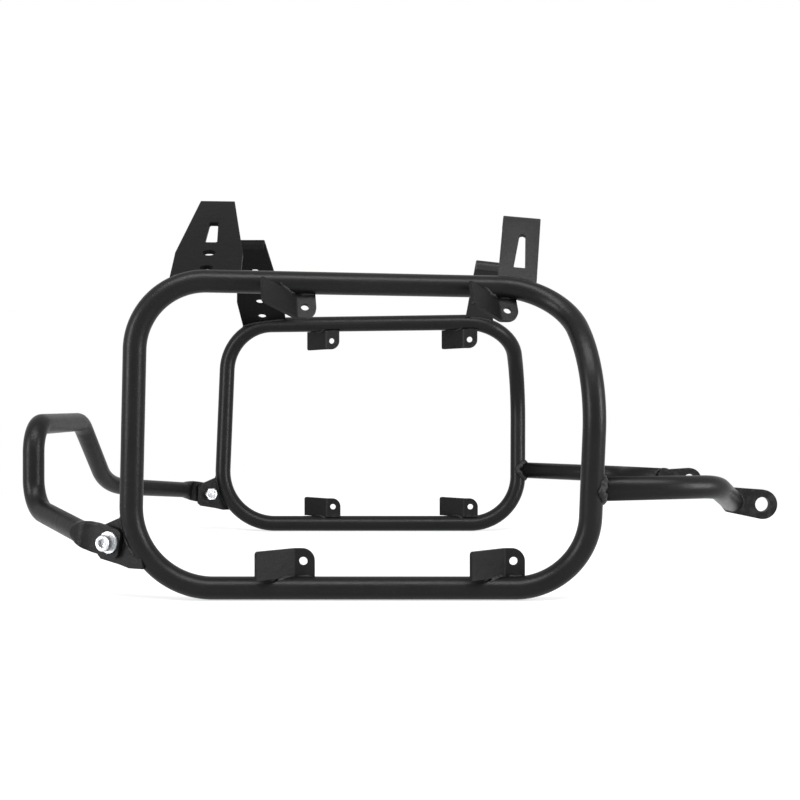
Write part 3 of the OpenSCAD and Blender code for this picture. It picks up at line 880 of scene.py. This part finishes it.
# Kind of surface, radius, and height above the head's seat, from the shank's tip to the socket's floor.
profile = [("plain", 2.6, -SHANK), ("plain", 3.3, -SHANK + 0.4)]
profile += [("thread", 4.0, -SHANK + 0.7 + 0.156 * i) for i in range(80)]
profile += [("plain", 4.0, -SHANK + 13.4), ("plain", 4.0, 0.0), ("plain", 6.1, 0.0), ("plain", 6.4, 0.4)]
profile += [("knurl", HEAD_R, 0.9), ("knurl", HEAD_R, 6.3), ("plain", 6.4, 6.8), ("plain", 5.9, 7.6),
            ("plain", 5.4, 8.0), ("plain", 3.9, 8.0), ("hexagon", 3.05, 7.5), ("hexagon", 3.0, 4.1),
            ("plain", 1.5, 3.6), ("plain", 0.4, 3.4)]
for side in ("right", "left"):
    rings = []
    for kind, r, h in profile:
        ring = []
        for k in range(SCREW_SIDES):
            a = 2 * math.pi * k / SCREW_SIDES
            out_r = bolt_radius(kind, r, h, a)
            ring.append(at_joint((out_r * math.cos(a), SEAT + h, out_r * math.sin(a))))
        rings.append(ring)
    mesh = skin_mesh(side + "_cap_screw", rings, False, ZINC, side)
    mesh.set_sharp_from_angle(angle=math.radians(35))
    place_piece(side + "_cap_screw", mesh, "zinc", side + "_bolt")

# The floor is paper that keeps the rack's soft shadow close by. What the camera, reflections and
# clear things see of it is part plain white, 62% near the rack and all of it further out.
FLOOR_HALF = 6.0
FLOOR_DROP = 0.0005
WHITE_NEAR = 0.62
FADE_FROM = 0.45
FADE_TO = 1.1
floor_mesh = bpy.data.meshes.new("floor")
floor_mesh.from_pydata([(-FLOOR_HALF, -FLOOR_HALF, 0), (FLOOR_HALF, -FLOOR_HALF, 0),
                        (FLOOR_HALF, FLOOR_HALF, 0), (-FLOOR_HALF, FLOOR_HALF, 0)], [], [(0, 1, 2, 3)])
floor = bpy.data.objects.new("floor", floor_mesh)
bpy.context.collection.objects.link(floor)
floor.location.z = -FLOOR_DROP
paper = Graph("floor_paper")
spot = paper.node("ShaderNodeTexCoord", {}, {}, "Object")
away = paper.node("ShaderNodeVectorMath", {"operation": "LENGTH"}, {0: spot}, "Value")
grain = paper.noise(spot, 3.0, 0.0)
matt = paper.node("ShaderNodeBsdfPrincipled", {}, {
    "Base Color": paper.mix(grain, grey(0.86), grey(0.88)), "Roughness": 0.95, "Specular IOR Level": 0.0})
white = paper.node("ShaderNodeEmission", {}, {"Color": (1, 1, 1, 1), "Strength": 1.0})
seen = paper.node("ShaderNodeLightPath", {}, {}, "Is Camera Ray")
glossy = paper.node("ShaderNodeLightPath", {}, {}, "Is Glossy Ray")
clear = paper.node("ShaderNodeLightPath", {}, {}, "Is Transmission Ray")
part = WHITE_NEAR + (1 - WHITE_NEAR) * away.step(FADE_FROM, FADE_TO)
floor_mesh.materials.append(paper.finish(paper.node(
    "ShaderNodeMixShader", {}, {0: part * seen.larger(glossy).larger(clear), 1: matt, 2: white})))

# The camera stands square to the right rack at its mid height, as in the photograph.
camera_data = bpy.data.cameras.new("camera")
camera = bpy.data.objects.new("camera", camera_data)
bpy.context.collection.objects.link(camera)
bpy.context.scene.camera = camera
camera.location = (-0.01385, -1.130, 0.1525)
camera.rotation_euler = (math.radians(90), 0, 0)
camera_data.lens = 51.165
camera_data.sensor_width = 36.0
camera_data.shift_x = 0.01394
camera_data.shift_y = 0.0054
camera_data.clip_start = 0.05
camera_data.clip_end = 30.0

# Studio light: an evenly white room of strength 1, with strip boxes above and on both sides of the
# camera that draw the long highlights on the tubes.
world = bpy.data.worlds.new("world")
bpy.context.scene.world = world
world.use_nodes = True
world.node_tree.nodes["Background"].inputs["Color"].default_value = (1, 1, 1, 1)
world.node_tree.nodes["Background"].inputs["Strength"].default_value = 1.0


def lamp(name, place, target, width, height, power):
    light = bpy.data.lights.new(name, "AREA")
    light.shape = "RECTANGLE"
    light.size = width
    light.size_y = height
    light.energy = power
    made = bpy.data.objects.new(name, light)
    bpy.context.collection.objects.link(made)
    made.location = place
    made.rotation_euler = (Vector(target) - Vector(place)).to_track_quat("-Z", "Y").to_euler()


NEAR_RACK = (0, -0.1, 0.15)
lamp("top_lamp", (0.0, -1.0, 1.35), NEAR_RACK, width=1.6, height=0.45, power=38)
lamp("left_lamp", (-1.45, -1.15, 0.2), NEAR_RACK, width=0.3, height=1.3, power=40)
lamp("right_lamp", (1.55, -0.95, 0.2), NEAR_RACK, width=0.3, height=1.3, power=50)

bpy.context.scene.view_settings.view_transform = "Standard"
